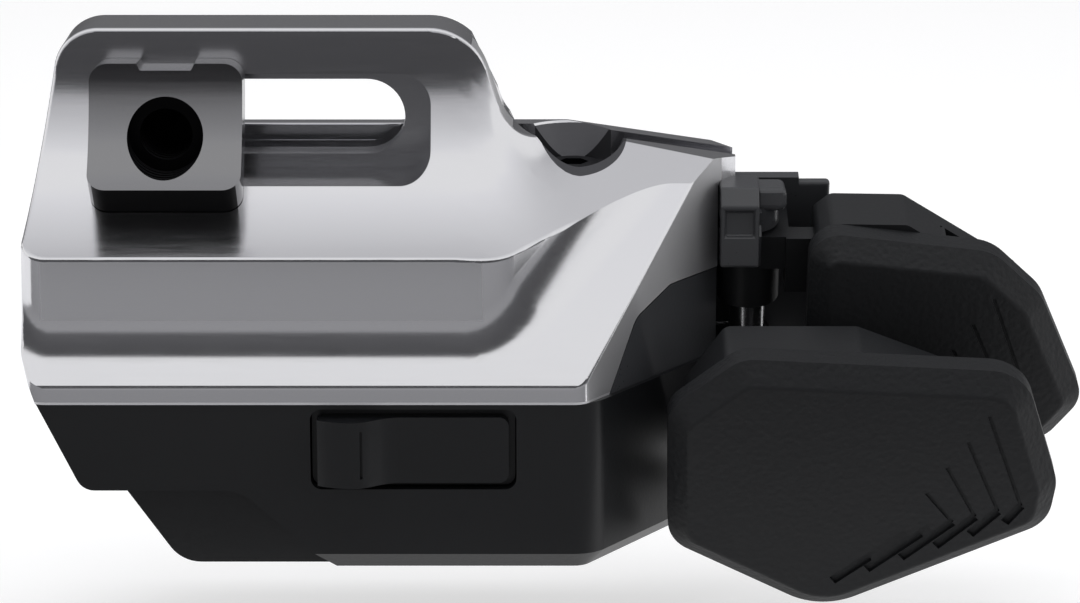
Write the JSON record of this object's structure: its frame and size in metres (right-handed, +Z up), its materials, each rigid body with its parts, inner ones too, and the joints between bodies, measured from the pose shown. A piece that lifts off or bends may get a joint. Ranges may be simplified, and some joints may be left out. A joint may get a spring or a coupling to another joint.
{
  "type": "electronic bicycle shifter",
  "caption": "Right-hand wireless electronic shifter for a flat handlebar: metal cover with a slotted loop, battery drawer and pivoting thumb paddles.",
  "frame": {"origin": "mouth of the fixing nut's threaded hole, on the axis of the bolt that holds the shifter", "axes": "+X along the handlebar from the fixing nut towards the paddles, +Y away from the rider, +Z up"},
  "size_m": [0.0856, 0.0276, 0.0465],
  "materials": {
    "cover_metal": "polished, with a satin band",
    "nut_metal": "satin",
    "housing_resin": "fine moulded texture",
    "lever_resin": "fine moulded texture",
    "paddle_pad": "matt, finely grained",
    "fastener_steel": "black oxide",
    "bright_steel": "turned",
    "bush_resin": "turned",
    "seal_rubber": "smooth",
    "board": "solder mask",
    "cell_steel": "plated",
    "contact_brass": "plated"
  },
  "bodies": {
    "housing": {"top_cover": "cover_metal", "housing_gasket": "seal_rubber", "recess_screw": "fastener_steel", "lower_housing": "housing_resin", "bottom_screws": "fastener_steel", "circuit_board": "board", "radio_module": "bright_steel", "battery_contact_positive": "contact_brass", "battery_contact_negative": "contact_brass", "lever_bracket": "housing_resin", "bracket_screws": "fastener_steel", "pivot_axle": "bright_steel", "axle_clip": "bright_steel", "hub_spacer": "bright_steel", "upper_return_spring": "bright_steel", "lower_return_spring": "bright_steel", "upper_switch": "housing_resin", "lower_switch": "housing_resin"},
    "nut": {"fixing_nut": "nut_metal", "nut_retainer": "bright_steel", "retainer_clip": "bright_steel"},
    "drawer": {"battery_tray": "housing_resin", "coin_cell": "cell_steel", "tray_seal": "seal_rubber"},
    "upper_lever": {"upper_lever_arm": "lever_resin", "upper_bush": "bush_resin"},
    "lower_lever": {"lower_lever_arm": "lever_resin", "lower_bush": "bush_resin"},
    "upper_paddle": {"upper_paddle_core": "lever_resin", "upper_paddle_pad": "paddle_pad", "upper_paddle_screw": "fastener_steel"},
    "lower_paddle": {"lower_paddle_core": "lever_resin", "lower_paddle_pad": "paddle_pad", "lower_paddle_screw": "fastener_steel"},
    "upper_push": {"upper_plunger": "bush_resin"},
    "lower_push": {"lower_plunger": "bush_resin"}
  },
  "joints": [
    {"name": "nut_slide", "type": "slide", "parent": "housing", "child": "nut", "axis": [1, 0, 0], "range_m": [0, 0.0152]},
    {"name": "drawer_slide", "type": "slide", "parent": "housing", "child": "drawer", "axis": [0, -1, 0], "range_m": [0, 0.017]},
    {"name": "upper_press", "type": "hinge", "parent": "housing", "child": "upper_lever", "pos_m": [0.047, 0.0104, -0.01657], "axis": [0, -0.2588, 0.9659], "range_deg": [0, 6], "stiffness_Nm_per_rad": 0.25, "springref_deg": -1.15, "deforming": ["upper_return_spring"]},
    {"name": "lower_press", "type": "hinge", "parent": "housing", "child": "lower_lever", "pos_m": [0.047, 0.0104, -0.01657], "axis": [0, -0.2588, 0.9659], "range_deg": [0, 6], "stiffness_Nm_per_rad": 0.25, "springref_deg": -1.15, "deforming": ["lower_return_spring"]},
    {"name": "upper_paddle_adjust", "type": "slide", "parent": "upper_lever", "child": "upper_paddle", "axis": [1, 0, 0], "range_m": [-0.0012, 0.0012]},
    {"name": "lower_paddle_adjust", "type": "slide", "parent": "lower_lever", "child": "lower_paddle", "axis": [1, 0, 0], "range_m": [-0.0012, 0.0012]},
    {"name": "upper_plunger_slide", "type": "slide", "parent": "housing", "child": "upper_push", "axis": [0, -0.9659, -0.2588], "range_m": [0, 0.000942]},
    {"name": "lower_plunger_slide", "type": "slide", "parent": "housing", "child": "lower_push", "axis": [0, -0.9659, -0.2588], "range_m": [0, 0.000942]}
  ],
  "couplings": [
    {"joint": "upper_plunger_slide", "follows": "upper_press", "m_per_rad": 0.009},
    {"joint": "lower_plunger_slide", "follows": "lower_press", "m_per_rad": 0.009}
  ]
}
